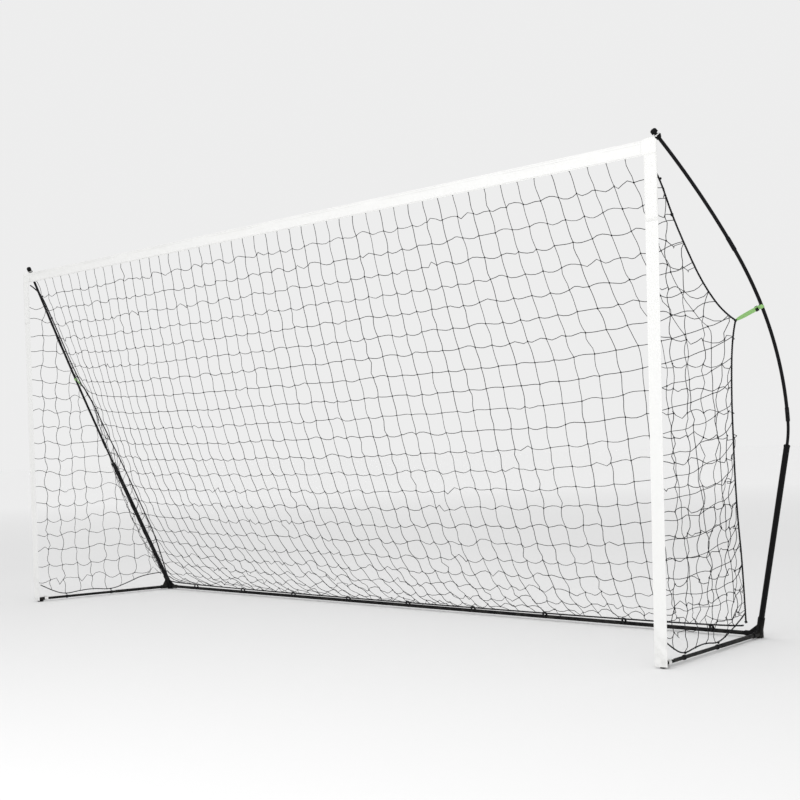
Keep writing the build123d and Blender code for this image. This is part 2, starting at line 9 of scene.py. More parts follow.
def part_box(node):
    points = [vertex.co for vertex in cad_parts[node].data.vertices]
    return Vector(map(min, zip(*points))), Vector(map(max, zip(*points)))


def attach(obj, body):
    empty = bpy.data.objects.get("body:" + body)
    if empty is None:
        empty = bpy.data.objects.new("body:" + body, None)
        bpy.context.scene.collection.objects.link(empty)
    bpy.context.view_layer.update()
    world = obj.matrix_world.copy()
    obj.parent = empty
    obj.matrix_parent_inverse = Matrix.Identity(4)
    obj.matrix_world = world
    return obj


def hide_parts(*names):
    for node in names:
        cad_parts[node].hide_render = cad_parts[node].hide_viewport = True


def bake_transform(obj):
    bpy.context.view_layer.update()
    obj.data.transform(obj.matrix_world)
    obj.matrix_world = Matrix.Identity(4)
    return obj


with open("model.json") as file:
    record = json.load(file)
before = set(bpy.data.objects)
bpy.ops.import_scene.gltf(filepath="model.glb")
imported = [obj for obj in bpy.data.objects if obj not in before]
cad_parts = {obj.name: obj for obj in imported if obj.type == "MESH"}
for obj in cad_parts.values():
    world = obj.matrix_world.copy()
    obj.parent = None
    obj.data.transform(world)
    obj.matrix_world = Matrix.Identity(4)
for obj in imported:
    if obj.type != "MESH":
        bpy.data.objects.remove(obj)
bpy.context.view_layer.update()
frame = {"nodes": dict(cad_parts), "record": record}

# A pop up goal: a flat black base, two bowed poles, a mouth of white webbing, and a knotted net edged with
# rope. +X is the goal's right from in front, +Y is back into the goal, +Z is up; everything is in metres.

# ---- the camera, at eye level beside the right post, looking across the mouth ----
CAMERA_PLACE = Vector((5.6014, -5.1435, 0.9215))
CAMERA_LOOK = Vector((-0.70502, 0.70837, 0.03395))
CAMERA_ROLL = 1.862  # degrees
CAMERA_LENS = 62.06  # mm

camera_data = bpy.data.cameras.new("camera")
camera_data.lens = CAMERA_LENS
camera_data.sensor_width = 36
camera_data.clip_end = 200
camera = bpy.data.objects.new("camera", camera_data)
bpy.context.scene.collection.objects.link(camera)
camera.location = CAMERA_PLACE
camera.rotation_mode = "QUATERNION"
camera.rotation_quaternion = (CAMERA_LOOK.to_track_quat("-Z", "Y")
                              @ Quaternion((0, 0, 1), -radians(CAMERA_ROLL)))
bpy.context.scene.camera = camera

# ---- the object's main dimensions, read from the frame ----
SIDES = (("left", -1), ("right", 1))


def middle(node):
    low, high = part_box(node)
    return (Vector(low) + Vector(high)) / 2


post_low, post_high = (Vector(corner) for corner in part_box("post_webbing_right"))
bar_low, bar_high = (Vector(corner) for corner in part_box("crossbar_webbing"))
MOUTH_Y = middle("crossbar_webbing").y
REAR_Y = middle("rear_bar_left_outer").y
BASE_DEPTH = REAR_Y - MOUTH_Y
BAR_HEIGHT = middle("rear_bar_left_outer").z
CROSSBAR_LOW = bar_low.z
MOUTH_HEIGHT = bar_high.z
WEBBING_WIDTH = MOUTH_HEIGHT - CROSSBAR_LOW
HALF_WEBBING = WEBBING_WIDTH / 2
POST_BOTTOM = post_low.z
POST_TOP_X = post_high.x - HALF_WEBBING
FOOT_X = post_low.x + HALF_WEBBING
BAR_INSET = 0.022
REAR_HALF = Vector(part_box("rear_bar_right_outer")[1]).x + BAR_INSET

WEBBING_THICKNESS = 0.0022
LOOP_THICKNESS = 0.0016
ROPE_RADIUS = 0.0044
CORD_RADIUS = 0.0034
TWINE_RADIUS = 0.0016
KNOT_RADIUS = 0.0042
CELL = 0.1  # the net's square mesh


def spot(x, depth, z):
    """A point given by its depth behind the mouth."""
    return Vector((x, MOUTH_Y + depth, z))


def side_x(depth, z):
    """Half the goal's width at a point of its side."""
    inward = (FOOT_X - REAR_HALF) * depth / BASE_DEPTH
    outward = (POST_TOP_X - FOOT_X) * z / MOUTH_HEIGHT
    return FOOT_X - inward + outward


def side_spot(s, depth, z, out=0.0):
    return spot(s * (side_x(depth, z) + out), depth, z)


def side_bar_spot(s, depth):
    x = REAR_HALF + (FOOT_X - REAR_HALF) * (BASE_DEPTH - depth) / BASE_DEPTH
    return spot(s * x, depth, BAR_HEIGHT)


# ---- helpers for meshes and curves ----
def deselect():
    bpy.ops.object.select_all(action="DESELECT")


def make_active(obj):
    deselect()
    obj.select_set(True)
    bpy.context.view_layer.objects.active = obj


def apply_modifiers(obj):
    make_active(obj)
    for modifier in list(obj.modifiers):
        bpy.ops.object.modifier_apply(modifier=modifier.name)


def mesh_object(name, points, faces):
    mesh = bpy.data.meshes.new(name)
    mesh.from_pydata([tuple(point) for point in points], [], faces)
    mesh.update()
    obj = bpy.data.objects.new(name, mesh)
    bpy.context.scene.collection.objects.link(obj)
    return obj


def curve_object(name, lines, radius, sides=1, closed=False, order=0):
    """One object of round cords along lines of points, smoothed through them if an order is given."""
    curve = bpy.data.curves.new(name, "CURVE")
    curve.dimensions = "3D"
    curve.bevel_depth = radius
    curve.bevel_resolution = sides
    curve.use_fill_caps = True
    curve.resolution_u = 6
    for line in lines:
        spline = curve.splines.new("NURBS" if order else "POLY")
        spline.points.add(len(line) - 1)
        for point, place in zip(spline.points, line):
            point.co = (*place, 1)
        spline.use_cyclic_u = closed
        if order:
            spline.order_u = order
            spline.use_endpoint_u = not closed
    obj = bpy.data.objects.new(name, curve)
    bpy.context.scene.collection.objects.link(obj)
    return obj


def to_mesh(obj):
    make_active(obj)
    bpy.ops.object.convert(target="MESH")
    obj = bpy.context.view_layer.objects.active
    obj.data.shade_smooth()
    return obj


def joined(name, objects):
    make_active(objects[0])
    for obj in objects[1:]:
        obj.select_set(True)
    if len(objects) > 1:
        bpy.ops.object.join()
    obj = bpy.context.view_layer.objects.active
    obj.name = name
    obj.data.name = name
    return obj


def smooth_line(points):
    """Points along the smooth line that a cord of these route points follows."""
    guide = curve_object("guide", [points], 0, order=3)
    guide.data.resolution_u = 12
    mesh = bpy.data.meshes.new_from_object(guide)
    line = [vertex.co.copy() for vertex in mesh.vertices]
    bpy.data.objects.remove(guide)
    bpy.data.meshes.remove(mesh)
    return line


def evenly(line, spacing):
    """Points a constant distance apart along a line, both ends included."""
    line = np.array([tuple(point) for point in line])
    reach = np.concatenate(([0], np.cumsum(np.linalg.norm(np.diff(line, axis=0), axis=1))))
    count = max(2, round(reach[-1] / spacing) + 1)
    places = np.linspace(0, reach[-1], count)
    return np.stack([np.interp(places, reach, line[:, axis]) for axis in range(3)], axis=1)


def length_of(line):
    return sum((Vector(b) - Vector(a)).length for a, b in zip(line, line[1:]))


def rope(name, route, radius, lay=0.027, strands=3):
    """A laid rope: strands that wind round one another along the route's smooth line."""
    line = evenly(smooth_line(route), lay / 7)
    ahead = np.gradient(line, axis=0)
    ahead /= np.linalg.norm(ahead, axis=1)[:, None]
    side = np.cross(ahead[0], (0.3, 0.2, 1.0))
    sides = []
    for direction in ahead:
        side = side - direction * (side @ direction)
        side /= np.linalg.norm(side)
        sides.append(side)
    sides = np.array(sides)
    ups = np.cross(ahead, sides)
    strand_radius = radius * 0.5
    lines = []
    for strand in range(strands):
        turn = np.arange(len(line)) * 2 * pi / 7 + strand * 2 * pi / strands
        offset = sides * np.cos(turn)[:, None] + ups * np.sin(turn)[:, None]
        lines.append(line + offset * (radius - strand_radius))
    return to_mesh(curve_object(name, lines, strand_radius, sides=1))


def overhand(name, centre, ahead, size, radius):
    """A tight overhand knot of a cord, its long way along a direction."""
    turn = Vector(ahead).to_track_quat("Z", "Y")
    loop = []
    for step in range(42):
        t = 2 * pi * step / 42
        point = Vector((sin(t) + 2 * sin(2 * t), cos(t) - 2 * cos(2 * t), -1.6 * sin(3 * t))) * size / 3
        loop.append(Vector(centre) + turn @ point)
    return to_mesh(curve_object(name, [loop], radius, sides=1, closed=True))


def coil(name, centre, ahead, across, reach, radius, turns, cord_radius):
    """A cord wound round a bar, or round two things a reach apart, by so many turns."""
    ahead = Vector(ahead).normalized()
    across = Vector(across).normalized()
    up = ahead.cross(across)
    pitch = cord_radius * 2.1
    points = []
    for step in range(turns * 16 + 1):
        angle = 2 * pi * step / 16
        stretch = reach / 2 if cos(angle) > 0 else -reach / 2
        along = (step / 16 - turns / 2) * pitch
        points.append(Vector(centre) + ahead * along + across * (radius * cos(angle) + stretch)
                      + up * radius * sin(angle))
    return to_mesh(curve_object(name, [points], cord_radius, sides=1, order=3))


def webbing(name, rows, thickness):
    """A woven band from rows of points: a grid with its own UV in metres, given a thickness."""
    across = len(rows[0])
    points = [point for row in rows for point in row]
    faces = [(r * across + c, r * across + c + 1, (r + 1) * across + c + 1, (r + 1) * across + c)
             for r in range(len(rows) - 1) for c in range(across - 1)]
    obj = mesh_object(name, points, faces)
    u_of = []
    v_of = []
    run = 0.0
    for index, row in enumerate(rows):
        if index:
            run += (Vector(row[across // 2]) - Vector(rows[index - 1][across // 2])).length
        reach = 0.0
        for place, point in enumerate(row):
            if place:
                reach += (Vector(point) - Vector(row[place - 1])).length
            u_of.append(reach)
            v_of.append(run)
    layer = obj.data.uv_layers.new(name="UVMap")
    for loop in obj.data.loops:
        layer.data[loop.index].uv = (u_of[loop.vertex_index], v_of[loop.vertex_index])
    solid = obj.modifiers.new("thickness", "SOLIDIFY")
    solid.thickness = thickness
    solid.offset = 0
    rounded = obj.modifiers.new("rounded", "BEVEL")
    rounded.width = thickness * 0.35
    rounded.segments = 2
    rounded.limit_method = "ANGLE"
    rounded.angle_limit = radians(50)
    apply_modifiers(obj)
    obj.data.shade_smooth()
    return obj


STITCH_LENGTH = 0.0034
STITCH_PITCH = 0.005
STITCH_WIDTH = 0.0009
STITCH_HEIGHT = 0.0006


def stitching(name, lines, normal):
    """Runs of short raised stitches along lines of points, lying on a face with this normal."""
    normal = Vector(normal).normalized()
    points = []
    faces = []
    for line in lines:
        places = evenly(line, STITCH_PITCH)
        for start, end in zip(places, places[1:]):
            centre = (Vector(start) + Vector(end)) / 2
            ahead = (Vector(end) - Vector(start)).normalized() * STITCH_LENGTH / 2
            aside = normal.cross(ahead).normalized() * STITCH_WIDTH / 2
            first = len(points)
            for rise, shrink in ((-0.3, 1), (0.6, 1), (1, 0.6)):
                level = centre + normal * STITCH_HEIGHT * rise
                for a, b in ((-1, -1), (1, -1), (1, 1), (-1, 1)):
                    points.append(level + ahead * a * shrink + aside * b * shrink)
            for layer in (0, 4):
                for corner in range(4):
                    after = (corner + 1) % 4
                    faces.append((first + layer + corner, first + layer + after,
                                  first + layer + 4 + after, first + layer + 4 + corner))
            faces.append((first + 8, first + 9, first + 10, first + 11))
            faces.append((first + 3, first + 2, first + 1, first))
    return mesh_object(name, points, faces)


# ---- materials ----
def node_group(name, inputs, outputs):
    """A shader node group with named sockets; returns the group and its two end nodes."""
    group = bpy.data.node_groups.new(name, "ShaderNodeTree")
    for label, kind, value in inputs:
        socket = group.interface.new_socket(label, in_out="INPUT", socket_type=kind)
        if value is not None:
            socket.default_value = value
    for label, kind in outputs:
        group.interface.new_socket(label, in_out="OUTPUT", socket_type=kind)
    return group, group.nodes.new("NodeGroupInput"), group.nodes.new("NodeGroupOutput")


def math_node(tree, operation, first, second=None):
    node = tree.nodes.new("ShaderNodeMath")
    node.operation = operation
    for socket, value in zip(node.inputs, (first, second)):
        if value is None:
            continue
        if isinstance(value, (int, float)):
            socket.default_value = value
        else:
            tree.links.new(value, socket)
    return node.outputs[0]


def noise(tree, vector, scale, detail=3.0, roughness=0.55):
    node = tree.nodes.new("ShaderNodeTexNoise")
    node.inputs["Scale"].default_value = scale
    node.inputs["Detail"].default_value = detail
    node.inputs["Roughness"].default_value = roughness
    tree.links.new(vector, node.inputs["Vector"])
    return node.outputs["Fac"]


def remap(tree, value, low, high, to_low=0.0, to_high=1.0):
    node = tree.nodes.new("ShaderNodeMapRange")
    tree.links.new(value, node.inputs["Value"])
    for label, number in (("From Min", low), ("From Max", high), ("To Min", to_low), ("To Max", to_high)):
        if isinstance(number, (int, float)):
            node.inputs[label].default_value = number
        else:
            tree.links.new(number, node.inputs[label])
    return node.outputs["Result"]


def build_weave():
    """Plain weave from a UV in metres: a height, and a shade that darkens between the yarns."""
    group, start, end = node_group(
        "weave", [("Vector", "NodeSocketVector", None), ("Pitch", "NodeSocketFloat", 0.0016)],
        [("Height", "NodeSocketFloat"), ("Shade", "NodeSocketFloat")])
    split = group.nodes.new("ShaderNodeSeparateXYZ")
    group.links.new(start.outputs["Vector"], split.inputs[0])
    waves = []
    for axis, stretch in (("X", 1.0), ("Y", 1.45)):
        turns = math_node(group, "DIVIDE", split.outputs[axis], start.outputs["Pitch"])
        waves.append(math_node(group, "SINE", math_node(group, "MULTIPLY", turns, pi * stretch)))
    product = math_node(group, "MULTIPLY", *waves)
    crowns = math_node(group, "ABSOLUTE", product)
    group.links.new(crowns, end.inputs["Height"])
    group.links.new(remap(group, crowns, 0, 0.6, 0.84, 1), end.inputs["Shade"])
    return group


def build_soil():
    """A mask of grass and dust marks that fades with height above the ground."""
    group, start, end = node_group(
        "soil", [("Vector", "NodeSocketVector", None), ("Reach", "NodeSocketFloat", 0.25)],
        [("Mask", "NodeSocketFloat")])
    split = group.nodes.new("ShaderNodeSeparateXYZ")
    group.links.new(start.outputs["Vector"], split.inputs[0])
    height = math_node(group, "DIVIDE", split.outputs["Z"], start.outputs["Reach"])
    fade = remap(group, height, 0, 1, 1, 0)
    blotches = remap(group, noise(group, start.outputs["Vector"], 22, 6), 0.45, 0.75)
    group.links.new(math_node(group, "MULTIPLY", fade, blotches), end.inputs["Mask"])
    return group


def build_grain():
    """Fine surface grain: a height, and a roughness that wanders between two values."""
    group, start, end = node_group(
        "grain", [("Vector", "NodeSocketVector", None), ("Low", "NodeSocketFloat", 0.3),
                  ("High", "NodeSocketFloat", 0.5)],
        [("Height", "NodeSocketFloat"), ("Roughness", "NodeSocketFloat")])
    fine = noise(group, start.outputs["Vector"], 900, 2)
    broad = noise(group, start.outputs["Vector"], 35, 5, 0.65)
    group.links.new(fine, end.inputs["Height"])
    rough = remap(group, broad, 0.3, 0.7, start.outputs["Low"], start.outputs["High"])
    group.links.new(rough, end.inputs["Roughness"])
    return group


WEAVE = build_weave()
SOIL = build_soil()
GRAIN = build_grain()


def use_group(tree, group, vector, **values):
    node = tree.nodes.new("ShaderNodeGroup")
    node.node_tree = group
    tree.links.new(vector, node.inputs["Vector"])
    for label, value in values.items():
        node.inputs[label].default_value = value
    return node.outputs


def mix_colour(tree, factor, first, second):
    node = tree.nodes.new("ShaderNodeMix")
    node.data_type = "RGBA"
    tree.links.new(factor, node.inputs[0])
    for socket, value in ((node.inputs[6], first), (node.inputs[7], second)):
        if isinstance(value, tuple):
            socket.default_value = (*value, 1)
        else:
            tree.links.new(value, socket)
    return node.outputs[2]


def new_material(name, **constants):
    """A material with a Principled BSDF; returns it, its tree, the shader and Object coordinates."""
    material = bpy.data.materials.new(name)
    material.use_nodes = True
    tree = material.node_tree
    shader = tree.nodes["Principled BSDF"]
    for label, value in constants.items():
        shader.inputs[label.replace("_", " ")].default_value = value
    place = tree.nodes.new("ShaderNodeTexCoord")
    return material, tree, shader, place


def bump(tree, shader, height, distance, strength=1.0):
    node = tree.nodes.new("ShaderNodeBump")
    node.inputs["Distance"].default_value = distance
    node.inputs["Strength"].default_value = strength
    tree.links.new(height, node.inputs["Height"])
    tree.links.new(node.outputs["Normal"], shader.inputs["Normal"])


DUST = (0.07, 0.067, 0.06)


def hard_material(name, colour, worn, rough, grain_depth, wear_scale=60.0, wear=0.62, **constants):
    """Paint, steel or moulded plastic: grain, wandering gloss, scuffs, and dust close to the ground."""
    material, tree, shader, place = new_material(name, **constants)
    grain = use_group(tree, GRAIN, place.outputs["Object"], Low=rough[0], High=rough[1])
    soil = use_group(tree, SOIL, place.outputs["Object"], Reach=0.09)
    scuffs = remap(tree, noise(tree, place.outputs["Object"], wear_scale, 9, 0.75), wear, wear + 0.1, 0, 0.8)
    colours = mix_colour(tree, scuffs, colour, worn)
    colours = mix_colour(tree, math_node(tree, "MULTIPLY", soil["Mask"], 0.5), colours, DUST)
    tree.links.new(colours, shader.inputs["Base Color"])
    tree.links.new(grain["Roughness"], shader.inputs["Roughness"])
    bump(tree, shader, grain["Height"], grain_depth)
    return material


def fibre_material():
    """Pultruded fibreglass rod: gloss black with faint fibres along it under the surface."""
    material, tree, shader, place = new_material("fibreglass", Specular_IOR_Level=0.1)
    stretch = tree.nodes.new("ShaderNodeMapping")
    stretch.inputs["Scale"].default_value = (1, 1, 0.02)
    tree.links.new(place.outputs["Object"], stretch.inputs["Vector"])
    fibres = noise(tree, stretch.outputs["Vector"], 1400, 3)
    grain = use_group(tree, GRAIN, place.outputs["Object"], Low=0.3, High=0.46)
    streaks = remap(tree, fibres, 0.4, 0.75)
    tree.links.new(mix_colour(tree, streaks, (0.003, 0.003, 0.0035), (0.014, 0.014, 0.016)),
                   shader.inputs["Base Color"])
    tree.links.new(grain["Roughness"], shader.inputs["Roughness"])
    bump(tree, shader, fibres, 0.00012)
    return material


def woven_material(name, colour, shadow, pitch, soil_reach, soil_strength, sheen, rib=0.0003):
    """Woven webbing with a plain weave, uneven yarns and marks near the ground."""
    material, tree, shader, place = new_material(name, Sheen_Weight=sheen, Sheen_Roughness=0.5)
    weave = use_group(tree, WEAVE, place.outputs["UV"], Pitch=pitch)
    soil = use_group(tree, SOIL, place.outputs["Object"], Reach=soil_reach)
    yarns = remap(tree, noise(tree, place.outputs["Object"], 300, 3), 0.3, 0.7, 0.93, 1)
    shade = math_node(tree, "MULTIPLY", weave["Shade"], yarns)
    colours = mix_colour(tree, shade, shadow, colour)
    colours = mix_colour(tree, math_node(tree, "MULTIPLY", soil["Mask"], soil_strength), colours, DUST)
    tree.links.new(colours, shader.inputs["Base Color"])
    broad = noise(tree, place.outputs["Object"], 40, 4)
    tree.links.new(remap(tree, broad, 0.3, 0.7, 0.72, 0.9), shader.inputs["Roughness"])
    bump(tree, shader, weave["Height"], rib)
    return material


def twine_material(name, colour, lit, scale):
    """Twisted polyester twine or rope fibre: fine streaks of lighter filament and a fuzzy surface."""
    material, tree, shader, place = new_material(name, Sheen_Weight=0.05, Sheen_Roughness=0.4,
                                                 Specular_IOR_Level=0.1)
    fibres = noise(tree, place.outputs["Object"], scale, 5, 0.7)
    broad = noise(tree, place.outputs["Object"], 14, 3)
    blend = math_node(tree, "MULTIPLY", remap(tree, fibres, 0.35, 0.8), remap(tree, broad, 0.2, 0.8, 0.5, 1))
    tree.links.new(mix_colour(tree, blend, colour, lit), shader.inputs["Base Color"])
    tree.links.new(remap(tree, broad, 0.3, 0.7, 0.68, 0.88), shader.inputs["Roughness"])
    bump(tree, shader, fibres, 0.0003)
    return material


MATERIALS = {
    "base_steel": hard_material("powder_coated_steel", (0.004, 0.004, 0.0045), (0.02, 0.02, 0.021),
                                (0.42, 0.6), 0.00008, Specular_IOR_Level=0.1),
    "plated_steel": hard_material("zinc_plated_steel", (0.55, 0.55, 0.56), (0.33, 0.32, 0.3), (0.25, 0.42),
                                  0.00003, Metallic=1.0),
    "ferrule_steel": hard_material("blacked_steel", (0.005, 0.005, 0.006), (0.04, 0.04, 0.043), (0.35, 0.5),
                                   0.00004, wear=0.6, Specular_IOR_Level=0.12),
    "fibreglass": fibre_material(),
    "black_plastic": hard_material("moulded_plastic", (0.004, 0.004, 0.0045), (0.014, 0.014, 0.015),
                                   (0.45, 0.62), 0.00012, wear_scale=90, Specular_IOR_Level=0.1),
    "shock_cord": twine_material("elastic_cord_cover", (0.02, 0.02, 0.02), (0.09, 0.09, 0.09), 1500),
    "white_webbing": woven_material("white_webbing", (0.86, 0.86, 0.85), (0.6, 0.6, 0.59), 0.0018, 0.22, 0.3,
                                    0.15),
    "net_twine": twine_material("net_twine", (0.008, 0.008, 0.009), (0.045, 0.045, 0.048), 1800),
    "black_rope": twine_material("laid_rope", (0.008, 0.008, 0.009), (0.04, 0.04, 0.043), 1300),
    "tie_tape": twine_material("tie_cord", (0.01, 0.01, 0.011), (0.05, 0.05, 0.053), 1500),
    "green_elastic": woven_material("green_elastic", (0.27, 0.52, 0.17), (0.12, 0.27, 0.07), 0.0012, 0.2, 0.0,
                                    0.3, rib=0.0002),
}
STITCH_THREAD = twine_material("stitch_thread", (0.62, 0.62, 0.61), (0.85, 0.85, 0.84), 2500)
GREEN_THREAD = twine_material("green_thread", (0.1, 0.24, 0.06), (0.2, 0.42, 0.12), 2500)

for row in frame["record"]["subparts"]:
    node = frame["nodes"][row["node"]]
    for material_slot in node.material_slots:
        material_slot.material = MATERIALS[row["material_slot"]]


def finish_piece(obj, slot, material=None):
    """Gives a finished piece its material: the one given, or else the one of its record slot."""
    obj.data.materials.clear()
    obj.data.materials.append(material or MATERIALS[slot])
    return obj


def blend_to_mouth(obj):
    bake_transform(obj)


# ---- the mouth: woven posts and crossbar ----
rng = np.random.default_rng(7)
ACROSS = (-1, -0.94, -0.55, 0, 0.55, 0.94, 1)  # a webbing's grid, in half widths
FRONT = (0, -1, 0)
SEAM = 0.005  # stitching in from an edge


def post_point(s, z, across, lift=0.0):
    """A point of a post's webbing: across runs from -1, inner edge, to 1, outer edge."""
    return spot(s * (side_x(0, z) + across * HALF_WEBBING), -lift, z)


def ripple(run, seed):
    """A few tenths of a millimetre of slow waviness, as tensioned webbing shows."""
    return 0.0005 * sin(run * 9.1 + seed) + 0.0003 * sin(run * 23.7 + 2 * seed)


def strip_rows(point_at, start, end, spacing, seed):
    count = round(abs(end - start) / spacing)
    rows = []
    for index in range(count + 1):
        run = start + (end - start) * index / count
        wave = ripple(run, seed)
        rows.append([point_at(run, a, wave * (1 - a * a) + wave * 0.3) for a in ACROSS])
    return rows


for side, s in SIDES:
    rows = strip_rows(lambda z, a, wave: post_point(s, z, a, wave),
                      POST_BOTTOM, MOUTH_HEIGHT - 0.004, 0.02, s)
    post = finish_piece(webbing(f"post_{side}", rows, WEBBING_THICKNESS), "white_webbing")
    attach(post, "front_frame")
    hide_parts(f"post_webbing_{side}")

crossbar_half = Vector(bar_high).x


def crossbar_point(x, across, wave):
    """The crossbar is a folded sleeve: its top edge stands a little forward of its lower one."""
    fold = 0.0012 if across > 0.5 else 0
    return spot(x, -wave - fold, (CROSSBAR_LOW + MOUTH_HEIGHT) / 2 + across * HALF_WEBBING)


rows = strip_rows(crossbar_point, -crossbar_half, crossbar_half, 0.024, 0.7)
crossbar = finish_piece(webbing("crossbar", rows, WEBBING_THICKNESS), "white_webbing")
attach(crossbar, "front_frame")
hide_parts("crossbar_webbing")

FACE = WEBBING_THICKNESS / 2 + 0.0006
seams = []
for height in (CROSSBAR_LOW + SEAM, MOUTH_HEIGHT - 0.014, MOUTH_HEIGHT - SEAM):
    seams.append([spot(-crossbar_half, -FACE - 0.0006, height), spot(crossbar_half, -FACE - 0.0006, height)])
thread = finish_piece(stitching("crossbar_stitching", seams, FRONT), "white_webbing", STITCH_THREAD)
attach(thread, "front_frame")

# ---- the mouth: corner patches that narrow to a neck, and the loops round the pole tips ----
PATCH_BOTTOM = MOUTH_HEIGHT - 0.33
PATCH_REACH = 0.017  # over the crossbar, past the post's inner edge
PATCH_LIFT = WEBBING_THICKNESS / 2 + 0.0009
NECK_HALF = 0.010
STEP = 0.004
LOOP_RADIUS = 0.0136  # of the tip loop, round the pole
LOOP_HALF = 0.0016  # half of its width, clear of cap and collar as the mouth rocks
LOOP_BACK = 0.0039  # its place down the pole from the middle between cap and collar
TURNS = 32  # steps round a loop
FOOT_BAND_RADIUS = 0.0122
FOOT_BAND_HALF = 0.012


def patch_edges(s):
    """The patch's inner and outer edges from its bottom up to the neck, as x offsets, depth and height."""
    edges = [(-HALF_WEBBING, HALF_WEBBING, z, z, 0)
             for z in np.linspace(PATCH_BOTTOM, CROSSBAR_LOW - STEP, 14)]
    wide = -HALF_WEBBING - PATCH_REACH
    top = MOUTH_HEIGHT
    edges += [(wide + 0.006, HALF_WEBBING, CROSSBAR_LOW + 0.001, CROSSBAR_LOW, 0),
              (wide, HALF_WEBBING, CROSSBAR_LOW + 0.008, CROSSBAR_LOW + 0.006, 0),
              (wide, HALF_WEBBING, CROSSBAR_LOW + 0.03, CROSSBAR_LOW + 0.03, 0),
              (wide, HALF_WEBBING - 0.001, top - 0.006, top - 0.012, 0),
              (wide + 0.004, HALF_WEBBING - 0.004, top + 0.0015, top - 0.002, 0.0005),
              (wide + 0.017, HALF_WEBBING - 0.009, top + 0.004, top + 0.004, 0.0025),
              (wide + 0.028, HALF_WEBBING - 0.014, top + 0.0085, top + 0.0085, 0.006)]
    return edges


for side, s in SIDES:
    tip = middle(f"tip_cap_{side}")
    collar = middle(f"tip_collar_{side}")
    pole_way = (tip - collar).normalized()
    ring_centre = (tip + collar) / 2 - pole_way * LOOP_BACK
    rows = []
    for inner, outer, z_in, z_out, back in patch_edges(s):
        row = []
        for a in ACROSS:
            t = (a + 1) / 2
            z = z_in + (z_out - z_in) * t
            row.append(spot(s * (side_x(0, min(z, MOUTH_HEIGHT)) + inner + (outer - inner) * t),
                            back - PATCH_LIFT, z))
        rows.append(row)
    down = Vector((0, -0.811, -0.586))  # from the loop to the patch, across the pole
    for rise in (0.017, 0.0125):
        centre = ring_centre + down * rise
        rows.append([centre + Vector((s * a * NECK_HALF, 0, 0)) for a in ACROSS])
    patch = finish_piece(webbing(f"corner_reinforcement_{side}", rows, 0.0014), "white_webbing")
    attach(patch, "front_frame")
    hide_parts(f"corner_patch_{side}")

    inset = SEAM * 0.8
    inner_line = []
    outer_line = []
    for inner, outer, z_in, z_out, back in patch_edges(s)[:-2]:
        lift = back - PATCH_LIFT - 0.0009
        inner_line.append(spot(s * (side_x(0, z_in) + inner + inset), lift, z_in + 0.001))
        outer_line.append(spot(s * (side_x(0, z_out) + outer - inset), lift, z_out + 0.001))
    low = PATCH_BOTTOM + inset
    across_low = [[post_point(s, low + gap, -0.9, PATCH_LIFT + 0.0009),
                   post_point(s, low + gap, 0.9, PATCH_LIFT + 0.0009)] for gap in (0, 0.006)]
    across_high = [[post_point(s, CROSSBAR_LOW + inset, -0.9, PATCH_LIFT + 0.0009),
                    post_point(s, CROSSBAR_LOW + inset, 0.9, PATCH_LIFT + 0.0009)]]
    thread = stitching(f"patch_stitching_{side}", [inner_line, outer_line, *across_low, *across_high], FRONT)
    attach(finish_piece(thread, "white_webbing", STITCH_THREAD), "front_frame")

    # The loop: a narrow band of the same webbing folded round the pole between its collar and its cap.
    turn = pole_way.to_track_quat("Z", "Y")
    rows = []
    for step in range(TURNS + 1):
        angle = 2 * pi * step / TURNS
        out = turn @ Vector((cos(angle), sin(angle), 0))
        rows.append([ring_centre + out * LOOP_RADIUS + pole_way * a * LOOP_HALF for a in ACROSS])
    loop = webbing(f"tip_loop_{side}", rows, LOOP_THICKNESS)
    finish_piece(loop, "white_webbing")
    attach(loop, "front_frame")
    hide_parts(f"corner_loop_{side}")

    # The foot: a band round the side bar, held by a short tab stitched to the back of the post.
    ahead = (side_bar_spot(s, 0.5) - side_bar_spot(s, 0)).normalized()
    hold = side_bar_spot(s, 0.06)
    aside = ahead.cross(Vector((0, 0, 1))).normalized()
    rows = []
    for step in range(TURNS + 1):
        angle = 2 * pi * step / TURNS
        out = aside * cos(angle) + Vector((0, 0, 1)) * sin(angle)
        rows.append([hold + out * FOOT_BAND_RADIUS + ahead * a * FOOT_BAND_HALF for a in ACROSS])
    band = webbing(f"foot_band_{side}", rows, 0.0018)
    tab = []
    for depth, z in ((0.0024, 0.085), (0.0024, 0.07), (0.0024, 0.055), (0.0035, 0.044), (0.009, 0.0375),
                     (0.02, 0.0335), (0.035, 0.031), (0.05, 0.0302), (0.07, 0.0302)):
        tab.append([spot(s * (side_x(0, 0.03) + a * 0.013), depth, z) for a in ACROSS])
    tab = webbing(f"foot_tab_{side}", tab, 0.0018)
    foot = finish_piece(joined(f"foot_strap_{side}", [band, tab]), "white_webbing")
    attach(foot, "front_frame")
    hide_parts(f"foot_loop_{side}")

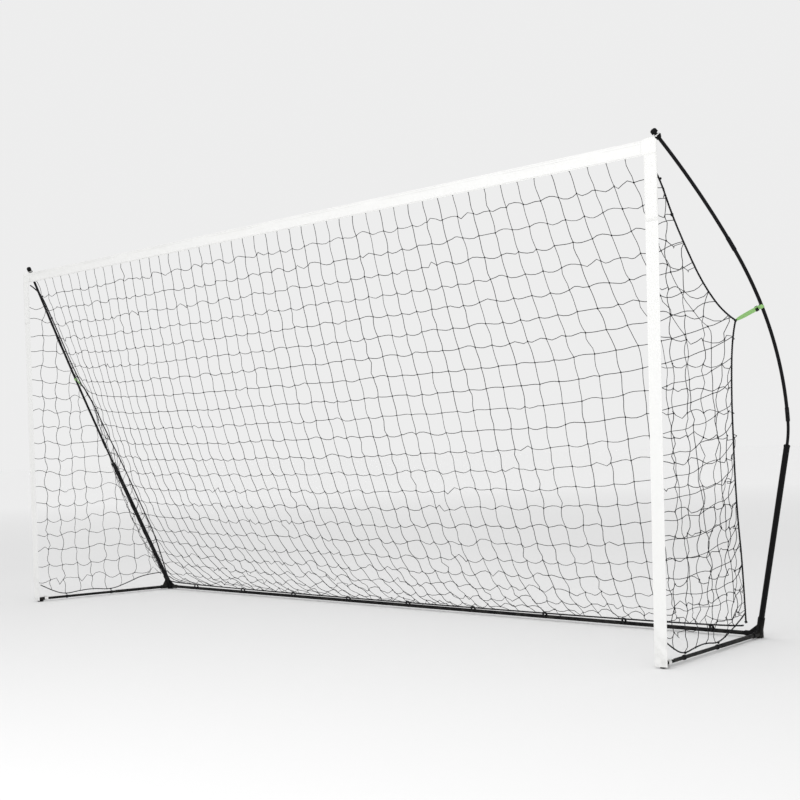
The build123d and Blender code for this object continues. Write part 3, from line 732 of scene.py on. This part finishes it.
# ---- the ropes: each side's edge rope, its hem cord, and the rope along the rear bar ----
# Each point is a depth, a height and a distance outside the side's plane, as in the solid model.
ROPE_TOP = ((0.012, 2.052, -0.028), (0.05, 2.03, -0.022))
ROPE_UPPER = ((0.100, 1.985, -0.012), (0.170, 1.844, 0.004), (0.250, 1.699, 0.032), (0.325, 1.563, 0.066),
              (0.412, 1.444, 0.116))
ROPE_CORNER = (0.454, 1.408, 0.156)
ROPE_LOWER = ((0.486, 1.340, 0.120), (0.570, 1.084, 0.072), (0.632, 0.932, 0.046), (0.702, 0.742, 0.016),
              (0.780, 0.529, -0.010), (0.850, 0.352, -0.027), (0.915, 0.072, -0.046))
HEM_DEPTH = 0.95
HEM_HEIGHT = 0.0335
HEM_BEND_X = REAR_HALF - 0.11
HEM_END = (REAR_HALF - 0.058, 0.924, 0.055)
SIDE_HEM = ((0.03, 0.104), (0.125, 0.052), (0.205, 0.032), (0.29, 0.044), (0.4, 0.05), (0.52, 0.032),
            (0.64, 0.066), (0.77, 0.112))
SIDE_TIE_DEPTHS = (0.205, 0.52)
HEM_OUT = 0.005

rope_lines = {}
for side, s in SIDES:
    upper = [side_spot(s, *point) for point in (*ROPE_TOP, *ROPE_UPPER, ROPE_CORNER)]
    lower = [side_spot(s, *point) for point in (ROPE_CORNER, *ROPE_LOWER)]
    corner = side_spot(s, *ROPE_CORNER)
    rope_lines[side] = smooth_line(upper) + smooth_line(lower)[1:]
    pieces = [rope("upper_run", upper, ROPE_RADIUS), rope("lower_run", lower, ROPE_RADIUS)]
    end_way = (lower[-1] - lower[-2]).normalized()
    for place, way in ((upper[2], upper[3] - upper[2]), (upper[3], upper[4] - upper[3]),
                       (corner, Vector((0, 0.3, 1))), (lower[-1], end_way)):
        pieces.append(overhand("knot", place, way, 0.0052, 0.0024))
    piece = finish_piece(joined(f"laid_edge_rope_{side}", pieces), "black_rope")
    blend_to_mouth(piece)
    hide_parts(f"edge_rope_{side}")

    # The hem cord is tied down to the side bar twice, and goes up to the edge rope's lower end.
    route = [side_spot(s, *point, HEM_OUT) for point in SIDE_HEM] + [side_spot(s, 0.872, 0.118, -0.03)]
    pieces = [rope("hem_run", route, CORD_RADIUS, lay=0.02)]
    for depth in SIDE_TIE_DEPTHS:
        pieces.append(overhand("knot", side_spot(s, depth, 0.034, HEM_OUT), (0.2, 1, 0), 0.0045, 0.0018))
    piece = finish_piece(joined(f"laid_hem_cord_{side}", pieces), "black_rope")
    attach(piece, "base")
    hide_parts(f"side_hem_cord_{side}")

    pieces = []
    for depth in SIDE_TIE_DEPTHS:
        ahead = side_bar_spot(s, depth + 0.1) - side_bar_spot(s, depth)
        pieces.append(coil("tie", side_bar_spot(s, depth), ahead, (0, 0, 1), 0.0, 0.0096, 4, 0.0015))
    piece = finish_piece(joined(f"side_bar_wraps_{side}", pieces), "tie_tape")
    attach(piece, "base")
    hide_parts(f"side_ties_{side}")

end_x, end_depth, end_height = HEM_END
hem_route = [spot(-end_x, end_depth, end_height), spot(-HEM_BEND_X, HEM_DEPTH, HEM_HEIGHT),
             spot(HEM_BEND_X, HEM_DEPTH, HEM_HEIGHT), spot(end_x, end_depth, end_height)]
hem_line = smooth_line(hem_route)
piece = rope("laid_rear_hem_rope", hem_route, ROPE_RADIUS)
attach(finish_piece(piece, "black_rope"), "base")
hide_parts("rear_hem_rope")

pieces = []
gap = Vector((0, HEM_DEPTH - BASE_DEPTH, HEM_HEIGHT - BAR_HEIGHT))
for index in range(-4, 5):
    centre = spot(index * 0.5 + 0.03, BASE_DEPTH, BAR_HEIGHT) + gap / 2
    pieces.append(coil("tie", centre, (1, 0, 0), gap, gap.length - 0.006, 0.0108, 4, 0.0015))
    knot_place = centre + gap.normalized() * 0.021
    pieces.append(overhand("knot", knot_place, (1, 0, 0), 0.003, 0.0013))
piece = finish_piece(joined("rear_bar_wraps", pieces), "tie_tape")
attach(piece, "base")
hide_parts("rear_ties")

# ---- the net: knots that hang, joined by twine that bows where it is slack ----
FALL = 0.0006  # how far a free knot drops each step


def settle(knots, links, lengths, held, steps, tries=14):
    """Lets a net hang: knots fall, and each length of twine stops its two knots from parting further."""
    place = np.array(knots, dtype=float)
    before = place.copy()
    first, second = np.array(links).T
    lengths = np.array(lengths)
    loose = np.where(held, 0.0, 1.0)
    share = loose[first] + loose[second]
    share[share == 0] = 1
    count = np.bincount(first, minlength=len(place)) + np.bincount(second, minlength=len(place))
    ease = (1.6 / np.maximum(count, 1))[:, None] * loose[:, None]
    drop = np.array((0, 0, -FALL)) * loose[:, None]
    for _ in range(steps):
        moved = place + (place - before) * 0.9 * loose[:, None] + drop
        before = place
        place = moved
        for _ in range(tries):
            way = place[second] - place[first]
            reach = np.linalg.norm(way, axis=1)
            excess = np.maximum(reach - lengths, 0) + 0.3 * np.minimum(reach - 0.8 * lengths, 0)
            pull = way * (excess / np.maximum(reach, 1e-9))[:, None]
            push = np.zeros_like(place)
            np.add.at(push, first, pull)
            np.add.at(push, second, -pull)
            place = place + push * ease
    return place


def twine(start, end, length):
    """Three points between two knots: the spare length of the twine goes into a bow and a kink."""
    way = end - start
    reach = np.linalg.norm(way)
    spare = min(max(length / reach - 1, 0.0015), 0.2)
    bow = reach * sqrt(3 / 8 * spare)
    lean = np.array((rng.normal(0, 0.6), rng.normal(0, 0.6), rng.normal(-0.4, 0.8)))
    lean -= way * (lean @ way) / reach ** 2
    lean /= np.linalg.norm(lean)
    kink = np.cross(way / reach, lean) * rng.normal(0, 0.5)
    return [start + way * t + (lean * sin(pi * t) + kink * sin(2 * pi * t)) * bow for t in (0.25, 0.5, 0.75)]


def strand(knots, run, lengths):
    """One twine of the net through a run of knots."""
    line = [knots[run[0]]]
    for here, after in zip(run, run[1:]):
        line += twine(knots[here], knots[after], lengths[(here, after)])
        line.append(knots[after])
    return line


deselect()
bpy.ops.mesh.primitive_ico_sphere_add(subdivisions=1, radius=1, location=(0, 0, 0))
seed_knot = bpy.context.view_layer.objects.active
KNOT_POINTS = np.array([tuple(vertex.co) for vertex in seed_knot.data.vertices])
KNOT_FACES = [tuple(polygon.vertices) for polygon in seed_knot.data.polygons]
bpy.data.objects.remove(seed_knot)


def net_piece(name, strands, knots, thickness=TWINE_RADIUS):
    """The twine and the knots of one panel as one mesh."""
    strings = to_mesh(curve_object(name, strands, thickness, sides=0))
    points = []
    faces = []
    for centre in knots:
        first = len(points)
        size = KNOT_RADIUS * rng.uniform(0.85, 1.15, 3) * (1, 0.8, 1.1)
        points += list(KNOT_POINTS * size + centre)
        faces += [tuple(first + corner for corner in face) for face in KNOT_FACES]
    lumps = mesh_object("knots", points, faces)
    lumps.data.shade_smooth()
    return finish_piece(joined(name, [strings, lumps]), "net_twine")


COLUMNS = 50
ROWS = 23
FOLD_ROW = 10
NET_TOP = CROSSBAR_LOW + 0.002

rope_points = {side: evenly(line, length_of(line) / ROWS) for side, line in rope_lines.items()}
hem_points = evenly(hem_line, length_of(hem_line) / COLUMNS)
if hem_points[0][0] > 0:
    hem_points = hem_points[::-1]
knots = []
held = []
for row in range(ROWS + 1):
    left = rope_points["left"][min(row, len(rope_points["left"]) - 1)]
    right = rope_points["right"][min(row, len(rope_points["right"]) - 1)]
    for column in range(COLUMNS + 1):
        t = column / COLUMNS
        point = left * (1 - t) + right * t
        if row == 0:
            point = np.array(spot(left[0] * (1 - t) + right[0] * t, 0.003, NET_TOP))
        elif row == ROWS:
            point = hem_points[column]
        else:
            sag = 0.15 * sin(pi * t) * sin(pi * row / ROWS)
            point = point + np.array((0, 0, -sag))
        knots.append(point)
        held.append(row in (0, ROWS) or column in (0, COLUMNS))


def index_of(row, column):
    return row * (COLUMNS + 1) + column


links = []
lengths = []
for row in range(ROWS + 1):
    for column in range(COLUMNS + 1):
        if column < COLUMNS and row not in (0, ROWS):
            links.append((index_of(row, column), index_of(row, column + 1)))
            lengths.append(CELL * 1.005)
        if row < ROWS:
            links.append((index_of(row, column), index_of(row + 1, column)))
            lengths.append(CELL * rng.uniform(0.985, 1.015))
knots = settle(knots, links, lengths, np.array(held), steps=260)
length_between = {link: length * rng.uniform(1.0, 1.035) for link, length in zip(links, lengths)}

panels = {"rear_net_upper": (0, FOLD_ROW), "rear_net_lower": (FOLD_ROW, ROWS)}
for name, (top, bottom) in panels.items():
    strands = []
    tied = []
    for column in range(1, COLUMNS):
        run = [index_of(row, column) for row in range(top, bottom + 1)]
        strands.append(strand(knots, run, length_between))
    for row in range(top + (0 if top else 1), bottom + (1 if bottom < ROWS else 0)):
        if row == top:
            continue
        run = [index_of(row, column) for column in range(COLUMNS + 1)]
        strands.append(strand(knots, run, length_between))
        tied += [knots[index_of(row, column)] for column in range(COLUMNS + 1)]
    if top == 0:
        tied += [knots[index_of(0, column)] for column in range(1, COLUMNS)]
    else:
        tied += [knots[index_of(ROWS, column)] for column in range(1, COLUMNS)]
    piece = net_piece(f"{name}_twine", strands, tied)
    if top == 0:
        blend_to_mouth(piece)
    else:
        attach(piece, "base")
    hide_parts(name)

# ---- the side nets: rows from the post to the edge rope, columns down to the hem cord ----
SIDE_ROWS = 19
SIDE_BOTTOM = 0.13
for side, s in SIDES:
    line = np.array([tuple(point) for point in rope_lines[side]])
    order = np.argsort(line[:, 2])
    hem = np.array([tuple(point) for point in smooth_line(
        [side_spot(s, *point, HEM_OUT) for point in SIDE_HEM] + [side_spot(s, 0.872, 0.118, -0.03)])])
    knots = []
    held = []
    grid = []
    for row in range(SIDE_ROWS):
        z = SIDE_BOTTOM + row * CELL
        start = np.array(side_spot(s, 0.003, z))
        start[0] += s * HALF_WEBBING * 0.6
        end = np.array([np.interp(z, line[order, 2], line[order, axis]) for axis in range(3)])
        reach = np.linalg.norm(end - start)
        count = max(1, round(reach / CELL))
        cells = []
        for column in range(count + 1):
            t = min(column * CELL / reach, 1) if column < count else 1
            cells.append(len(knots))
            knots.append(start + (end - start) * t)
            held.append(column in (0, count))
        grid.append(cells)
    links = []
    lengths = []
    for row, cells in enumerate(grid):
        for here, after in zip(cells, cells[1:]):
            links.append((here, after))
            span = np.linalg.norm(knots[after] - knots[here])
            lengths.append(span * rng.uniform(1.01, 1.17))
        if row + 1 < len(grid):
            above = grid[row + 1]
            for column, here in enumerate(cells[:-1]):
                after = above[min(column, len(above) - 1)]
                if column >= 1 and column <= len(above) - 1:
                    links.append((here, after))
                    span = np.linalg.norm(knots[after] - knots[here])
                    lengths.append(span * rng.uniform(1.0, 1.055))
    feet = []
    for column, here in enumerate(grid[0][1:-1], 1):
        depth = knots[here][1]
        foot = hem[np.argmin(abs(hem[:, 1] - depth))]
        feet.append((here, len(knots)))
        links.append((len(knots), here))
        lengths.append(np.linalg.norm(foot - knots[here]) * 1.04)
        knots.append(foot)
        held.append(True)
    placed = settle(knots, links, np.array(lengths) * 0.955, np.array(held), steps=160)
    length_between = dict(zip(links, lengths))
    strands = [strand(placed, cells, length_between) for cells in grid]
    strands += [strand(placed, list(link), length_between) for link in links
                if link[1] - link[0] != 1 or link[0] >= grid[-1][-1]]
    piece = net_piece(f"side_net_{side}_twine", strands, placed)
    blend_to_mouth(piece)
    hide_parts(f"side_net_{side}")

# ---- the elastic straps from the edge ropes to the poles ----
STRAP_WIDTH = 0.019
STRAP_THICKNESS = 0.0014
WRAP_RADIUS = 0.0087  # of the strap's turn round the pole
POLE_REACH = 0.0225  # from the fastener's middle to the pole's
STRAP_ACROSS = (-1, -0.9, -0.45, 0, 0.45, 0.9, 1)
# Along the strap from the rope: share of its length, share of its width, degrees of twist.
STRAP_SHAPE = ((-0.02, 0.5, 0), (0.04, 0.5, 0), (0.12, 0.72, 3), (0.25, 0.92, 7), (0.45, 1, 9), (0.65, 1, 6),
               (0.85, 0.96, 2), (1.0, 0.9, 0))

for side, s in SIDES:
    rope_end = side_spot(s, *ROPE_CORNER)
    outward = (middle(f"strap_buckle_{side}") - rope_end).normalized()
    buckle_reach = (middle(f"strap_buckle_{side}") - rope_end).length
    pole = rope_end + outward * (buckle_reach + POLE_REACH)
    pole_way = (middle(f"upper_ferrule_{side}") - middle(f"lower_ferrule_{side}")).normalized()
    flat = (pole_way - outward * pole_way.dot(outward)).normalized()
    thin = outward.cross(flat).normalized()
    rows = []
    for share, half, twist in STRAP_SHAPE:
        centre = rope_end.lerp(pole - outward * WRAP_RADIUS, share)
        across = flat * cos(radians(twist)) + thin * sin(radians(twist))
        rows.append([centre + across * a * half * STRAP_WIDTH / 2 for a in STRAP_ACROSS])
    band = finish_piece(webbing(f"strap_band_{side}", rows, STRAP_THICKNESS), "green_elastic")
    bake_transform(band)
    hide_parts(f"elastic_strap_{side}")

    rows = []
    for step in range(25):
        angle = 2 * pi * step / 24
        out = outward * cos(angle) + thin * sin(angle)
        rows.append([pole + out * WRAP_RADIUS + flat * a * STRAP_WIDTH * 0.45 for a in STRAP_ACROSS])
    wrap = finish_piece(webbing(f"strap_wrap_{side}", rows, STRAP_THICKNESS), "green_elastic")
    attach(wrap, f"lower_bow_{side}")
    rungs = []
    for reach in (0.012, 0.017):
        place = pole - outward * (WRAP_RADIUS + reach)
        rungs.append([place - flat * 0.0075, place + flat * 0.0075])
    thread = stitching(f"strap_stitching_{side}", rungs, -thin if thin.y > 0 else thin)
    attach(finish_piece(thread, "green_elastic", GREEN_THREAD), f"lower_bow_{side}")

# ---- floor and soft studio light ----
FLOOR_FADE = (5, 20)  # m from the middle, where the floor turns as bright as the backdrop
deselect()
bpy.ops.mesh.primitive_plane_add(size=200, location=(0, 0, -0.002))
floor = bpy.context.view_layer.objects.active
floor.name = "studio_floor"
floor_material, tree, shader, place = new_material("pale_floor", Roughness=0.95, Specular_IOR_Level=0.1)
distance = tree.nodes.new("ShaderNodeVectorMath")
distance.operation = "LENGTH"
tree.links.new(place.outputs["Object"], distance.inputs[0])
far = remap(tree, distance.outputs["Value"], *FLOOR_FADE)
tree.links.new(mix_colour(tree, far, (0.8, 0.8, 0.8), (0.99, 0.99, 0.99)), shader.inputs["Base Color"])
floor.data.materials.append(floor_material)

world = bpy.data.worlds.new("studio")
bpy.context.scene.world = world
world.use_nodes = True
background = world.node_tree.nodes["Background"]
background.inputs["Color"].default_value = (1, 1, 1, 1)
background.inputs["Strength"].default_value = 0.85


def soft_light(name, place, aim, size, power):
    data = bpy.data.lights.new(name, "AREA")
    data.size = size
    data.energy = power
    obj = bpy.data.objects.new(name, data)
    bpy.context.scene.collection.objects.link(obj)
    obj.location = place
    obj.rotation_mode = "QUATERNION"
    obj.rotation_quaternion = (Vector(aim) - Vector(place)).to_track_quat("-Z", "Y")


soft_light("key_light", (3.5, -6.5, 4.0), (0, 0, 1.2), 5, 215)
soft_light("top_light", (-1.0, 1.0, 8.0), (0, 0, 0), 8, 60)
bpy.context.scene.view_settings.view_transform = "Standard"

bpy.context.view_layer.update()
